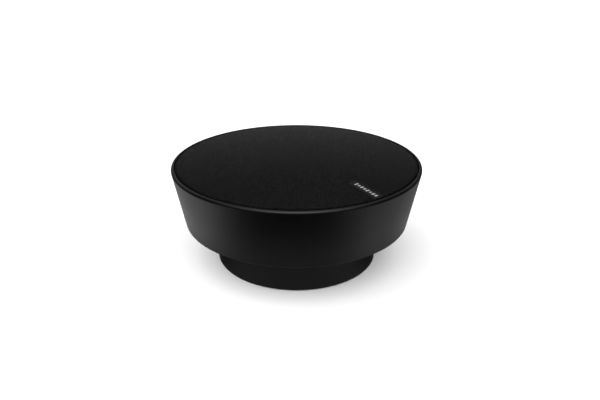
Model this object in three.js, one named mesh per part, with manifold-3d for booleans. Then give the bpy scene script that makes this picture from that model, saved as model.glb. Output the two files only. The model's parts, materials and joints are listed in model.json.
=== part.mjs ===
// Portable Bluetooth speaker: a bowl-shaped cabinet on a round pedestal, with a fabric grille on top.
// Millimetres, +Z up. The origin is the centre of the foot's resting face, and the front faces -Y.
import * as THREE from "three";
import { mergeVertices } from "three/addons/utils/BufferGeometryUtils.js";
import Module from "manifold-3d";

const wasm = await Module();
wasm.setup();

// ---------------------------------------------------------------- driving dimensions
const GAP = 0.3; // between neighbouring pieces
const RIM_RADIUS = 120;
const RIM_TOP = 99.2;
const BOWL_FOOT_RADIUS = 109.5; // the cone's lower edge
const FLOOR_BOTTOM = 42.5;
const WALL = 2.8;
const RIM_FILLET = 2.2;
const GRILLE_BORE_RADIUS = 117; // inside of the lip, around the grille

const FLOOR_TOP = FLOOR_BOTTOM + 3;
const FLOOR_HOLE_RADIUS = 30;
const LEDGE_TOP = 79.5;
const LEDGE_RADIUS = 105;
const COLLAR_TOP = 94; // the thicker wall round the baffle, which the grille rests on
const COLLAR_RADIUS = 112.6;

const PEDESTAL_FOOT_RADIUS = 79.7;
const PEDESTAL_TOP_RADIUS = 81.6;
const PEDESTAL_BOTTOM = 1.2;
const PEDESTAL_TOP = FLOOR_BOTTOM - GAP;
const PEDESTAL_WALL = 2.5;
const PEDESTAL_ROOF = 3;

const FABRIC_RADIUS = 115.9;
const FABRIC_THICKNESS = 0.9;
const FABRIC_SHOULDER = 1.25; // radius of the fabric's rolled edge
const FABRIC_CROWN = 101.4; // height of the fabric at the centre
const FABRIC_DROP = 2; // how far the crown falls by the shoulder
const SPOKE_BOTTOM = 97.3; // the grille's frame stays above this, so that the drivers can move

const BAFFLE_RADIUS = 112;
const BAFFLE_BOTTOM = 81;
const BAFFLE_TOP = 85.5;
const WOOFER_FLANGE_RADIUS = 60;
const WOOFER_FLANGE_BOTTOM = 84.2;
const WOOFER_FLANGE_TOP = 86;
const CONE_RADIUS = 41.5;
const COIL_RADIUS = 12.5;

const TWEETER_CIRCLE = 84;
const TWEETER_ANGLES = [30, 150, 270];
const BAFFLE_SCREW_CIRCLE = 108.7;
const BAFFLE_SCREW_ANGLES = [0, 60, 180, 240];
const PEG_CIRCLE = 103;
const PEG_ANGLES = [90, 210, 330];
const WOOFER_SCREW_CIRCLE = 57.2;
const WOOFER_SCREW_ANGLES = [45, 135, 225, 315];
const PORT_CIRCLE = 94.5;
const PORT_RADIUS = 10.6;
const BOSS_CIRCLE = 70; // the screws between the pedestal and the cabinet
const BOSS_ANGLES = [60, 180, 300];
const COLUMN_CIRCLE = 59; // the screws that hold the pedestal's floor plate
const COLUMN_ANGLES = [0, 120, 240];

const BUTTON_HEIGHT = 67.5;
const BUTTON_RADIUS = 4.5;
const BUTTONS = {
  power_button: 110,
  pairing_button: 100,
  volume_down_button: 90,
  play_button: 80,
  volume_up_button: 70,
};
const LED_ANGLE = 121;

const BAY_HALF_WIDTH = 21;
const BAY_BOTTOM = 48.6;
const BAY_TOP = 60.2;
const HINGE_HEIGHT = 50.4;

const TAG_ANGLE = -58.8; // the way the tag points, seen from above
const TAG_OFFSET = 10.2; // how far its middle line passes from the axis
const TAG_WIDTH = 10.6;
const TAG_INNER = 73;
const TAG_LIFT = [0.2, 0.8]; // its two faces, measured from the fabric

const WIDE = 48; // facets round the big circles
const MEDIUM = 32;
const SMALL = 16;
const TINY = 8;

// ---------------------------------------------------------------- materials
const material = (color, roughness, metalness = 0) =>
  new THREE.MeshStandardMaterial({ color, roughness, metalness });

const shellPlastic = material(0x161617, 0.5);
const pedestalPlastic = material(0x141415, 0.55);
const innerPlastic = material(0x222325, 0.7);
const grilleFabric = material(0x1b1b1c, 0.95);
const tagRubber = material(0x232325, 0.5);
const blackRubber = material(0x111112, 0.85);
const foam = material(0x1c1c1c, 0.95);
const steel = material(0xa8abb0, 0.35, 1);
const blackSteel = material(0x2a2b2e, 0.45, 1);
const ferrite = material(0x3a3a3d, 0.75, 0.2);
const conePaper = material(0x2b2b2d, 0.85);
const spiderCloth = material(0xb58a4a, 0.9);
const domeSilk = material(0x1f1f22, 0.7);
const copper = material(0xb87333, 0.3, 1);
const circuitGreen = material(0x0f4a2c, 0.5);
const cellWrap = material(0x1f4f8f, 0.45);
const clearLens = material(0xdfe8ee, 0.1);
const cableSkin = material(0x1a1a1a, 0.6);

// ---------------------------------------------------------------- geometry helpers
const radians = THREE.MathUtils.degToRad;

// A closed solid from a geometry, turned to face outwards.
function solid(geometry) {
  const bare = geometry.index ? geometry.toNonIndexed() : geometry.clone();
  bare.deleteAttribute("normal");
  bare.deleteAttribute("uv");
  const merged = mergeVertices(bare, 1e-3);
  const kept = [];
  const index = merged.index.array;
  for (let i = 0; i < index.length; i += 3) {
    const [a, b, c] = [index[i], index[i + 1], index[i + 2]];
    if (a !== b && b !== c && c !== a) kept.push(a, b, c);
  }
  const make = (triangles) =>
    new wasm.Manifold(
      new wasm.Mesh({
        numProp: 3,
        vertProperties: merged.attributes.position.array,
        triVerts: new Uint32Array(triangles),
      }),
    );
  const made = make(kept);
  return made.volume() < 0 ? make(kept.reverse()) : made;
}

function geometryOf(made) {
  const { numProp, numVert, vertProperties, triVerts } = made.getMesh();
  const points = new Float32Array(numVert * 3);
  for (let i = 0; i < numVert; i++) {
    points.set(vertProperties.subarray(i * numProp, i * numProp + 3), i * 3);
  }
  const geometry = new THREE.BufferGeometry();
  geometry.setAttribute("position", new THREE.BufferAttribute(points, 3));
  geometry.setIndex(new THREE.BufferAttribute(triVerts, 1));
  geometry.computeVertexNormals();
  return geometry;
}

const join = (first, ...others) =>
  geometryOf(others.reduce((sum, g) => sum.add(solid(g)), solid(first)));

const cut = (first, ...others) =>
  geometryOf(others.reduce((rest, g) => rest.subtract(solid(g)), solid(first)));

const common = (first, ...others) =>
  geometryOf(others.reduce((rest, g) => rest.intersect(solid(g)), solid(first)));

// A profile of [radius, height] pairs turned about +Z. An open profile starts and ends on the axis.
function turned(profile, facets) {
  const closed = profile[0][0] > 0;
  const outline = closed ? [...profile, profile[0]] : profile;
  const points = outline.map(([r, z]) => new THREE.Vector2(r, z));
  return geometryOf(solid(new THREE.LatheGeometry(points, facets).rotateX(Math.PI / 2)));
}

const ring = (inner, outer, low, high, facets) =>
  turned([[inner, low], [outer, low], [outer, high], [inner, high]], facets);

const rod = (radius, low, high, facets, x = 0, y = 0) =>
  new THREE.CylinderGeometry(radius, radius, high - low, facets)
    .rotateX(Math.PI / 2)
    .translate(x, y, (low + high) / 2);

const rods = (circle, angles, radius, low, high, facets = TINY) =>
  angles.map((a) => rod(radius, low, high, facets, ...polar(circle, a)));

const block = (x0, x1, y0, y1, z0, z1) =>
  new THREE.BoxGeometry(x1 - x0, y1 - y0, z1 - z0)
    .translate((x0 + x1) / 2, (y0 + y1) / 2, (z0 + z1) / 2);

// The points of an arc in a profile, from one angle to another, in degrees.
function arc(r, z, radius, from, to, steps) {
  return Array.from({ length: steps + 1 }, (_, i) => {
    const a = radians(from + ((to - from) * i) / steps);
    return [r + radius * Math.cos(a), z + radius * Math.sin(a)];
  });
}

const polar = (circle, degrees) => [
  circle * Math.cos(radians(degrees)),
  circle * Math.sin(radians(degrees)),
];

function wire(points, radius) {
  const path = new THREE.CatmullRomCurve3(points.map((p) => new THREE.Vector3(...p)));
  const section = new THREE.Shape();
  for (let i = 0; i < 8; i++) {
    const [x, y] = polar(radius, i * 45);
    if (i) section.lineTo(x, y);
    else section.moveTo(x, y);
  }
  return new THREE.ExtrudeGeometry(section, { extrudePath: path, steps: 14, bevelEnabled: false });
}

// ---------------------------------------------------------------- the cabinet's cone
const coneSlope = (RIM_RADIUS - BOWL_FOOT_RADIUS) / (RIM_TOP - FLOOR_BOTTOM);
const CONE_TILT = Math.atan(coneSlope);
const coneRadius = (z) => BOWL_FOOT_RADIUS + coneSlope * (z - FLOOR_BOTTOM);

// A frame on the cone's outer face: +X points straight out of the wall.
function onCone(degrees, height) {
  return new THREE.Matrix4()
    .makeRotationZ(radians(degrees))
    .multiply(new THREE.Matrix4().makeTranslation(coneRadius(height), 0, height))
    .multiply(new THREE.Matrix4().makeRotationY(CONE_TILT));
}

// A profile turned about the local +X axis, for what sits in the wall: [radius, distance out].
const turnedOutwards = (profile, facets) => turned(profile, facets).rotateY(Math.PI / 2);

// ---------------------------------------------------------------- scene graph
const speaker = new THREE.Group();

function add(parent, name, geometry, look) {
  const mesh = new THREE.Mesh(geometry, look);
  mesh.name = name;
  parent.add(mesh);
  return mesh;
}

function subassembly(parent) {
  const group = new THREE.Group();
  parent.add(group);
  return group;
}

// ---------------------------------------------------------------- cabinet
function bowlShell() {
  const cornerRadius = 1;
  const innerWall = (z) => coneRadius(z) - WALL;
  const ledgeBottom = LEDGE_TOP - 2.5;
  const outline = [
    [FLOOR_HOLE_RADIUS, FLOOR_BOTTOM],
    ...arc(BOWL_FOOT_RADIUS - cornerRadius, FLOOR_BOTTOM + cornerRadius, cornerRadius, -90, 0, 2),
    ...arc(RIM_RADIUS - RIM_FILLET, RIM_TOP - RIM_FILLET, RIM_FILLET, 0, 90, 3),
    [GRILLE_BORE_RADIUS + 0.3, RIM_TOP],
    [GRILLE_BORE_RADIUS, RIM_TOP - 0.3],
    [GRILLE_BORE_RADIUS, COLLAR_TOP],
    [COLLAR_RADIUS, COLLAR_TOP],
    [COLLAR_RADIUS, LEDGE_TOP],
    [LEDGE_RADIUS, LEDGE_TOP],
    [LEDGE_RADIUS, ledgeBottom],
    [innerWall(ledgeBottom - 2.5), ledgeBottom - 2.5],
    [innerWall(FLOOR_TOP), FLOOR_TOP],
    [FLOOR_HOLE_RADIUS, FLOOR_TOP],
  ];
  const bosses = rods(BOSS_CIRCLE, BOSS_ANGLES, 4, FLOOR_TOP - 1, FLOOR_TOP + 4.5);
  const bossHoles = rods(BOSS_CIRCLE, BOSS_ANGLES, 1.6, FLOOR_BOTTOM - 1, FLOOR_TOP + 3);
  const screwHoles = rods(BAFFLE_SCREW_CIRCLE, BAFFLE_SCREW_ANGLES, 1.5, 70, 90);
  const portHoles = [PORT_CIRCLE, -PORT_CIRCLE].map((x) => rod(PORT_RADIUS + 0.4, 40, 50, SMALL, x));
  const buttonHoles = Object.values(BUTTONS).map((a) =>
    turnedOutwards([[0, -6], [BUTTON_RADIUS + 0.4, -6], [BUTTON_RADIUS + 0.4, 3], [0, 3]], SMALL)
      .applyMatrix4(onCone(a, BUTTON_HEIGHT)));
  const ledHole = turnedOutwards([[0, -6], [1.6, -6], [1.6, 3], [0, 3]], TINY)
    .applyMatrix4(onCone(LED_ANGLE, BUTTON_HEIGHT));
  const bayOpening = block(
    -BAY_HALF_WIDTH - GAP, BAY_HALF_WIDTH + GAP, 95, 125, BAY_BOTTOM - GAP, BAY_TOP + GAP);
  return cut(
    join(turned(outline, WIDE), ...bosses),
    ...bossHoles, ...screwHoles, ...portHoles, ...buttonHoles, ledHole, bayOpening);
}

// A flanged tube that opens through the cabinet's floor, beside the pedestal.
const bassPort = () =>
  turned([
    [9, FLOOR_BOTTOM - 1.3], [12, FLOOR_BOTTOM - 1.3], [12, FLOOR_BOTTOM - GAP],
    [PORT_RADIUS, FLOOR_BOTTOM - GAP], [PORT_RADIUS, 72], [9, 72], [8.4, 60], [8.4, 48],
  ], SMALL);

function bafflePlate() {
  const rebate = rod(WOOFER_FLANGE_RADIUS + 0.5, 82.6, 90, MEDIUM);
  const wooferHole = rod(55.5, 70, 90, MEDIUM);
  const tweeterHoles = rods(TWEETER_CIRCLE, TWEETER_ANGLES, 18.2, 70, 90, SMALL);
  const screwHoles = rods(BAFFLE_SCREW_CIRCLE, BAFFLE_SCREW_ANGLES, 1.6, 70, 90);
  const pegHoles = rods(PEG_CIRCLE, PEG_ANGLES, 2.7, 70, 90);
  const wooferScrewHoles = rods(WOOFER_SCREW_CIRCLE, WOOFER_SCREW_ANGLES, 1.3, 70, 90);
  return cut(
    rod(BAFFLE_RADIUS, BAFFLE_BOTTOM, BAFFLE_TOP, WIDE),
    rebate, wooferHole, ...tweeterHoles, ...screwHoles, ...pegHoles, ...wooferScrewHoles);
}

function baffleGasket() {
  const holes = rods(BAFFLE_SCREW_CIRCLE, BAFFLE_SCREW_ANGLES, 2, 70, 90);
  return cut(ring(105.5, 112, LEDGE_TOP + GAP, BAFFLE_BOTTOM - GAP, WIDE), ...holes);
}

// A pan-head screw with its head's underside at the origin, and its shank pointing down.
function screw(length, shank = 1.2) {
  return turned([
    [0, 1.9], [1.8, 1.9], [2.4, 1], [2.4, 0], [shank, 0], [shank, -length], [0, -length],
  ], TINY);
}

function addScrews(parent, name, circle, angles, height, geometry, upsideDown = false) {
  angles.forEach((angle, i) => {
    const mesh = add(parent, `${name}_${i + 1}`, geometry, steel);
    mesh.position.set(...polar(circle, angle), height);
    if (upsideDown) mesh.rotation.x = Math.PI;
  });
}

// ---------------------------------------------------------------- grille
const fabricHeight = (r) =>
  FABRIC_CROWN - FABRIC_DROP * (r / (FABRIC_RADIUS - FABRIC_SHOULDER)) ** 2;

// The grille's outer skin, moved in or out by an offset: the crown, then the rolled edge.
function skinProfile(offset, crownSteps, edgeSteps) {
  const shoulderRadius = FABRIC_RADIUS - FABRIC_SHOULDER;
  const crown = Array.from({ length: crownSteps }, (_, i) => {
    const r = (shoulderRadius * i) / crownSteps;
    return [r, fabricHeight(r) + offset];
  });
  const shoulderHeight = fabricHeight(shoulderRadius) - FABRIC_SHOULDER;
  return [
    ...crown,
    ...arc(shoulderRadius, shoulderHeight, FABRIC_SHOULDER + offset, 90, 0, edgeSteps),
  ];
}

function fabricCover() {
  const hem = COLLAR_TOP + 1;
  const outside = skinProfile(0, 2, 3);
  const inside = skinProfile(-FABRIC_THICKNESS, 2, 2).reverse();
  return turned(
    [...outside, [FABRIC_RADIUS, hem], [FABRIC_RADIUS - FABRIC_THICKNESS, hem], ...inside], WIDE);
}

// A domed plate cut to a rim, a middle ring, a hub and spokes, with pegs that push into the baffle.
function grilleFrame() {
  const bottom = COLLAR_TOP + GAP;
  const under = -FABRIC_THICKNESS - GAP;
  const dome = turned([...skinProfile(under, 2, 1), [FABRIC_RADIUS + under, bottom], [0, bottom]], WIDE);
  const spokes = [0, 60, 120].map((a) =>
    block(-112, 112, -2.5, 2.5, 90, 110).rotateZ(radians(a)));
  const pattern = join(
    ring(108.5, 118, 90, 110, WIDE), ring(62, 67, 90, 110, MEDIUM), rod(9, 90, 110, SMALL), ...spokes);
  const clearance = rod(107.5, 90, SPOKE_BOTTOM, WIDE);
  const pegs = rods(PEG_CIRCLE, PEG_ANGLES, 2.3, 83, SPOKE_BOTTOM + 0.8);
  const pegPads = rods(PEG_CIRCLE, PEG_ANGLES, 4.2, SPOKE_BOTTOM, SPOKE_BOTTOM + 0.7);
  const arms = PEG_ANGLES.map((a) =>
    block(100, 112, -2.5, 2.5, SPOKE_BOTTOM, SPOKE_BOTTOM + 0.8).rotateZ(radians(a)));
  return join(cut(common(dome, pattern), clearance), ...pegs, ...pegPads, ...arms);
}

// A strip that follows the fabric from a rounded inner end to the rolled edge.
function labelTag() {
  const [low, high] = TAG_LIFT.map((lift) => skinProfile(lift, 12, 4));
  const sheet = turned([...high, ...low.reverse()], 3 * WIDE);
  const half = TAG_WIDTH / 2;
  const start = TAG_INNER + half;
  const outline = join(
    rod(half, 90, 110, SMALL, start, TAG_OFFSET),
    block(start, RIM_RADIUS, TAG_OFFSET - half, TAG_OFFSET + half, 90, 110));
  return common(sheet, outline.rotateZ(radians(TAG_ANGLE)));
}

// ---------------------------------------------------------------- woofer
function wooferBasket() {
  const frame = turned([
    [20, 64.6], [37, 64.6], [39.2, 66.4], [53.6, WOOFER_FLANGE_BOTTOM],
    [WOOFER_FLANGE_RADIUS, WOOFER_FLANGE_BOTTOM], [WOOFER_FLANGE_RADIUS, WOOFER_FLANGE_TOP],
    [51.5, WOOFER_FLANGE_TOP], [38, 68.8], [33, 68.8], [33, 66.4], [20, 66.4],
  ], MEDIUM);
  const windows = [0, 90].map((a) =>
    block(-60, 60, -17, 17, 70.5, 81).rotateZ(radians(a)));
  const holes = rods(WOOFER_SCREW_CIRCLE, WOOFER_SCREW_ANGLES, 1.6, 70, 90);
  return cut(frame, ...windows, ...holes);
}

function wooferGasket() {
  const holes = rods(WOOFER_SCREW_CIRCLE, WOOFER_SCREW_ANGLES, 1.7, 70, 90);
  return cut(ring(55.6, 60, 82.9, 83.9, MEDIUM), ...holes);
}

const wooferYoke = () =>
  turned([[4, 49], [34, 49], [34, 52.2], [12, 52.2], [12, 64.3], [4, 64.3]], MEDIUM);

// A half-roll between the cone's edge and the basket's flange.
function wooferSurround() {
  const [middle, base, radius, thickness] = [46.5, 86.3, 4, 0.9];
  return turned([
    [54, base], [54, base + thickness],
    ...arc(middle, base + thickness, radius, 0, 180, 4),
    [39.6, base + thickness], [39.6, base],
    ...arc(middle, base, radius - thickness, 180, 0, 4),
  ], MEDIUM);
}

// A corrugated cloth disc that centres the voice coil.
function wooferSpider() {
  const [inner, outer, middle, wave, ridges, thickness] = [13.3, 36.8, 69.9, 0.7, 6, 0.6];
  const line = Array.from({ length: ridges }, (_, i) => {
    const r = inner + 2 + ((outer - inner - 6) * i) / (ridges - 1);
    return [r, middle + (i % 2 ? wave : -wave)];
  });
  const top = [[inner, middle], ...line, [outer, middle]];
  const under = top.map(([r, z]) => [r, z - thickness]).reverse();
  return turned([...top, ...under], 24);
}

const wooferCone = () =>
  turned([[13.3, 71.2], [CONE_RADIUS, 84.9], [CONE_RADIUS, 86], [13.3, 72.4]], MEDIUM);

function dustCap() {
  const rise = 5;
  const radius = 16.5;
  const foot = 75.4;
  const dome = (drop) => [0, 0.4, 0.75, 1].map((t) => [radius * t, foot + rise * (1 - t * t) - drop]);
  return turned([...dome(0), ...dome(0.8).reverse()], 24);
}

const voiceCoil = () =>
  turned([
    [COIL_RADIUS, 56.8], [COIL_RADIUS + 0.4, 56.8], [COIL_RADIUS + 0.4, 57.6], [COIL_RADIUS + 1, 57.6],
    [COIL_RADIUS + 1, 66.6], [COIL_RADIUS + 0.4, 66.6], [COIL_RADIUS + 0.4, 73], [COIL_RADIUS, 73],
  ], MEDIUM);

// ---------------------------------------------------------------- tweeters
const tweeterBody = () =>
  turned([
    [0, 68], [15.5, 68], [17.5, 70], [17.5, 85.8], [22, 85.8], [22, 86.9], [21.4, 87.5],
    [18, 87.5], [16.4, 85.4], [0, 85.4],
  ], SMALL);

function tweeterDome() {
  const base = 85.7;
  const dome = (radius) => arc(0, base, radius, 90, 18, 3);
  const roll = (radius) => arc(13.7, base, radius, 150, 0, 3);
  return turned([...dome(12), ...roll(2.2), [15.9, base], [0, base]], SMALL);
}

// ---------------------------------------------------------------- pedestal
function pedestalShell() {
  const outline = [
    [FLOOR_HOLE_RADIUS, PEDESTAL_TOP - PEDESTAL_ROOF], [FLOOR_HOLE_RADIUS, PEDESTAL_TOP],
    [PEDESTAL_TOP_RADIUS, PEDESTAL_TOP],
    [PEDESTAL_FOOT_RADIUS, PEDESTAL_BOTTOM + 0.8], [PEDESTAL_FOOT_RADIUS - 0.8, PEDESTAL_BOTTOM],
    [PEDESTAL_FOOT_RADIUS - PEDESTAL_WALL, PEDESTAL_BOTTOM],
    [PEDESTAL_TOP_RADIUS - PEDESTAL_WALL, PEDESTAL_TOP - PEDESTAL_ROOF],
  ];
  const columns = rods(COLUMN_CIRCLE, COLUMN_ANGLES, 3.5, 4.7, PEDESTAL_TOP - 1);
  const columnHoles = rods(COLUMN_CIRCLE, COLUMN_ANGLES, 1.5, 0, 14);
  const screwHoles = rods(BOSS_CIRCLE, BOSS_ANGLES, 1.6, 30, 50);
  const posts = [[40, 25], [-40, 25], [-40, -25], [40, -25]].map(([x, y]) =>
    rod(2.4, 32.9, PEDESTAL_TOP - 1, TINY, x, y));
  return cut(join(turned(outline, WIDE), ...columns, ...posts), ...columnHoles, ...screwHoles);
}

function pedestalPlate() {
  const groove = ring(63.7, 72.3, 0, 2.9, MEDIUM);
  const recesses = rods(COLUMN_CIRCLE, COLUMN_ANGLES, 3.2, 0, 3.2);
  const holes = rods(COLUMN_CIRCLE, COLUMN_ANGLES, 1.6, 0, 6);
  return cut(rod(76.6, 1.6, 4.4, MEDIUM), groove, ...recesses, ...holes);
}

const footRing = () => turned([[64, 0], [72, 0], [72, 2.6], [64, 2.6]], MEDIUM);

function batteryPack() {
  const [radius, pitch, halfLength, height] = [9.2, 18.4, 32.5, 14.4];
  const cells = [-1.5, -0.5, 0.5, 1.5].map((i) =>
    new THREE.CylinderGeometry(radius, radius, 2 * halfLength, 14)
      .rotateZ(Math.PI / 2)
      .translate(0, i * pitch, height));
  const wrap = block(-halfLength, halfLength, -1.5 * pitch, 1.5 * pitch, height - 6, height + 6);
  return join(wrap, ...cells);
}

const batteryBracket = () =>
  cut(block(-8, 8, -39.6, 39.6, 4.7, 26), block(-10, 10, -37.8, 37.8, 0, 24.2));

function mainBoard() {
  const connectors = [[-36, -12], [-36, 6], [34, -4]].map(([x, y]) =>
    block(x - 4, x + 4, y - 5, y + 5, 32, 36.4));
  const chips = [block(6, 20, 12, 22, 32, 34), block(-4, 4, -24, -18, 32, 34.2)];
  return join(block(-45, 45, -30, 30, 31, 32.6), ...connectors, ...chips);
}

function heatSink() {
  const fins = [0, 1, 2, 3, 4, 5].map((i) => block(-22 + i * 4, -20.4 + i * 4, -14, 10, 34, 38.6));
  return join(block(-22, -0.4, -14, 10, 32.9, 34.6), ...fins);
}

// ---------------------------------------------------------------- controls in the cabinet's back wall
const button = () =>
  turnedOutwards([
    [0, 0.6], [2.8, 0.75], [3.8, 0.9], [BUTTON_RADIUS, 0.4], [BUTTON_RADIUS, -3.4], [6.1, -3.4],
    [6.1, -4.6], [1.8, -4.6], [1.8, -7], [0, -7],
  ], SMALL);

const statusLed = () =>
  turnedOutwards([[0, 0.1], [1.3, 0.1], [1.3, -3.4], [2.4, -3.4], [2.4, -7], [0, -7]], TINY);

// A curved strip behind the buttons, with one switch for each.
function buttonBoard() {
  const [low, high] = [62.8, 73];
  const strip = turned([
    [coneRadius(low) - 9.6, low], [coneRadius(low) - 8.4, low],
    [coneRadius(high) - 8.4, high], [coneRadius(high) - 9.6, high],
  ], 2 * WIDE);
  const sector = block(-62, 46, 60, 120, 50, 80);
  const switches = Object.values(BUTTONS).map((a) =>
    turnedOutwards([[0, -7.8], [2.2, -7.8], [2.6, -9], [0, -9]], TINY)
      .applyMatrix4(onCone(a, BUTTON_HEIGHT)));
  return join(common(strip, sector), ...switches);
}

const HINGE_Y = coneRadius(HINGE_HEIGHT) - 1.2;
const EAR_INNER = 12.5;
const EAR_OUTER = 15;
const SOCKET_HEIGHT = 55;
const SOCKET_X = 8.5;

// A round bar along X at the port cover's hinge.
const hingeBar = (radius, half) =>
  rod(radius, -half, half, TINY).rotateY(Math.PI / 2).translate(0, HINGE_Y, HINGE_HEIGHT);

const socketOpening = (margin) =>
  join(
    rod(1.6 + margin, 90, 102, SMALL, -2.9, 0),
    rod(1.6 + margin, 90, 102, SMALL, 2.9, 0),
    block(-2.9, 2.9, -1.6 - margin, 1.6 + margin, 90, 102),
  ).rotateX(-Math.PI / 2).translate(SOCKET_X, 0, SOCKET_HEIGHT);

const jackOpening = (radius, back, front) =>
  rod(radius, back, front, SMALL).rotateX(-Math.PI / 2).translate(-SOCKET_X, 0, SOCKET_HEIGHT);

// A box behind the wall's opening, which carries the sockets and the cover's hinge.
function socketBay() {
  const [low, high, half, back] = [BAY_BOTTOM - 1.9, BAY_TOP + 1.9, BAY_HALF_WIDTH + 2.2, 97];
  const behindWall = turned([
    [0, low - 1], [coneRadius(low - 1) - WALL - GAP, low - 1],
    [coneRadius(high + 1) - WALL - GAP, high + 1], [0, high + 1],
  ], WIDE);
  const box = common(block(-half, half, back, 120, low, high), behindWall);
  const cavity = block(-BAY_HALF_WIDTH, BAY_HALF_WIDTH, back + 2, 130, BAY_BOTTOM, BAY_TOP);
  const ears = [-1, 1].map((side) =>
    block(
      side > 0 ? EAR_INNER : -EAR_OUTER, side > 0 ? EAR_OUTER : -EAR_INNER,
      104, HINGE_Y + 0.9, BAY_BOTTOM - 0.2, HINGE_HEIGHT + 1.2));
  return cut(
    join(cut(box, cavity), ...ears), hingeBar(0.7, 20), socketOpening(0.3), jackOpening(3.3, 90, 102));
}

// The flush cover: a piece of the cone's own surface, with a barrel on its lower edge.
function portCover() {
  const [low, high, half] = [49.3, 59.2, BAY_HALF_WIDTH - 0.4];
  const skin = turned([
    [coneRadius(45) - 2, 45], [coneRadius(45) - 0.1, 45],
    [coneRadius(65) - 0.1, 65], [coneRadius(65) - 2, 65],
  ], 2 * WIDE);
  const plate = common(skin, block(-half, half, 90, 125, low, high));
  const thumbNotch = rod(4, 90, 125, SMALL).rotateX(-Math.PI / 2).translate(0, 20, high + 2.8);
  const notches = [-1, 1].map((side) =>
    block(
      side > 0 ? EAR_INNER - 0.4 : -EAR_OUTER - 0.4, side > 0 ? EAR_OUTER + 0.4 : -EAR_INNER + 0.4,
      90, 125, low - 1, HINGE_HEIGHT + 1.9));
  return cut(
    join(cut(plate, thumbNotch, ...notches), hingeBar(1.3, EAR_INNER - 0.4)), hingeBar(0.95, 30));
}

const usbSocket = () => {
  const shell = common(socketOpening(0), block(-40, 40, 96, 99.4, 40, 70));
  const mouth = block(
    SOCKET_X - 3.6, SOCKET_X + 3.6, 97.4, 110, SOCKET_HEIGHT - 0.9, SOCKET_HEIGHT + 0.9);
  return cut(shell, mouth);
};

const auxJack = () =>
  cut(
    join(jackOpening(3, 96, 99.4), block(-SOCKET_X - 3.6, -SOCKET_X + 3.6, 93.9, 96.6, 51.4, 58.6)),
    jackOpening(1.75, 95, 110));

const socketBoard = () => {
  const hole = block(-SOCKET_X - 4, -SOCKET_X + 4, 90, 97, 51, 59);
  return cut(block(-19, 19, 94, 95.6, 49, 61), hole);
};

// ---------------------------------------------------------------- assembly
const cabinet = subassembly(speaker);
add(cabinet, "bowl_shell", bowlShell(), shellPlastic);
add(cabinet, "baffle_plate", bafflePlate(), innerPlastic);
add(cabinet, "baffle_gasket", baffleGasket(), foam);
addScrews(cabinet, "baffle_screw", BAFFLE_SCREW_CIRCLE, BAFFLE_SCREW_ANGLES, BAFFLE_TOP + GAP, screw(10));
for (const [name, side] of [["bass_port_right", 1], ["bass_port_left", -1]]) {
  add(cabinet, name, bassPort(), innerPlastic).position.x = side * PORT_CIRCLE;
}

const grille = subassembly(speaker);
add(grille, "grille_frame", grilleFrame(), innerPlastic);
add(grille, "grille_fabric", fabricCover(), grilleFabric);
add(grille, "label_tag", labelTag(), tagRubber);

const woofer = subassembly(speaker);
add(woofer, "woofer_basket", wooferBasket(), blackSteel);
add(woofer, "woofer_gasket", wooferGasket(), foam);
add(woofer, "woofer_top_plate", ring(14.2, 34, 60.8, 64.3, MEDIUM), steel);
add(woofer, "woofer_magnet", ring(20, 36, 52.5, 60.5, MEDIUM), ferrite);
add(woofer, "woofer_yoke", wooferYoke(), steel);
add(woofer, "woofer_surround", wooferSurround(), blackRubber);
add(woofer, "woofer_spider", wooferSpider(), spiderCloth);
add(woofer, "woofer_cone", wooferCone(), conePaper);
add(woofer, "woofer_dust_cap", dustCap(), conePaper);
add(woofer, "woofer_voice_coil", voiceCoil(), copper);
addScrews(
  woofer, "woofer_screw", WOOFER_SCREW_CIRCLE, WOOFER_SCREW_ANGLES, WOOFER_FLANGE_TOP + GAP, screw(6, 1.1));

TWEETER_ANGLES.forEach((angle, i) => {
  const place = subassembly(speaker);
  place.position.set(...polar(TWEETER_CIRCLE, angle), 0);
  add(place, `tweeter_body_${i + 1}`, tweeterBody(), blackSteel);
  add(place, `tweeter_dome_${i + 1}`, tweeterDome(), domeSilk);
});

const pedestal = subassembly(speaker);
add(pedestal, "pedestal_shell", pedestalShell(), pedestalPlastic);
add(pedestal, "pedestal_plate", pedestalPlate(), innerPlastic);
add(pedestal, "foot_ring", footRing(), blackRubber);
const underRoof = PEDESTAL_TOP - PEDESTAL_ROOF - GAP;
addScrews(pedestal, "pedestal_screw", BOSS_CIRCLE, BOSS_ANGLES, underRoof, screw(8), true);
addScrews(pedestal, "plate_screw", COLUMN_CIRCLE, COLUMN_ANGLES, 2.9, screw(9), true);
add(pedestal, "battery_pack", batteryPack(), cellWrap);
add(pedestal, "battery_bracket", batteryBracket(), blackSteel);
add(pedestal, "main_board", mainBoard(), circuitGreen);
add(pedestal, "wireless_module", block(8, 26, -24, -8, 32.9, 35.3), steel);
add(pedestal, "amplifier_heat_sink", heatSink(), steel);
const cablePath = [
  [-28, 14, 33.4], [-26, 14, 38], [-24, 13, 44], [-27, 14, 47],
  [-36, 17, 47.4], [-40.5, 18, 52], [-41, 18, 62],
];
add(pedestal, "speaker_cable", wire(cablePath, 0.9), cableSkin);

const controls = subassembly(speaker);
for (const [name, angle] of Object.entries(BUTTONS)) {
  add(controls, name, button(), shellPlastic).applyMatrix4(onCone(angle, BUTTON_HEIGHT));
}
add(controls, "status_led", statusLed(), clearLens).applyMatrix4(onCone(LED_ANGLE, BUTTON_HEIGHT));
add(controls, "button_board", buttonBoard(), circuitGreen);
add(controls, "socket_bay", socketBay(), innerPlastic);
add(controls, "port_cover", portCover(), blackRubber);
add(controls, "port_cover_pin", hingeBar(0.65, EAR_OUTER - 0.2), steel);
add(controls, "usb_c_socket", usbSocket(), steel);
add(controls, "aux_jack", auxJack(), innerPlastic);
add(controls, "socket_board", socketBoard(), circuitGreen);

export default speaker;
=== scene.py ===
import json
import math

import bmesh
import bpy
from mathutils import Matrix, Vector


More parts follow.
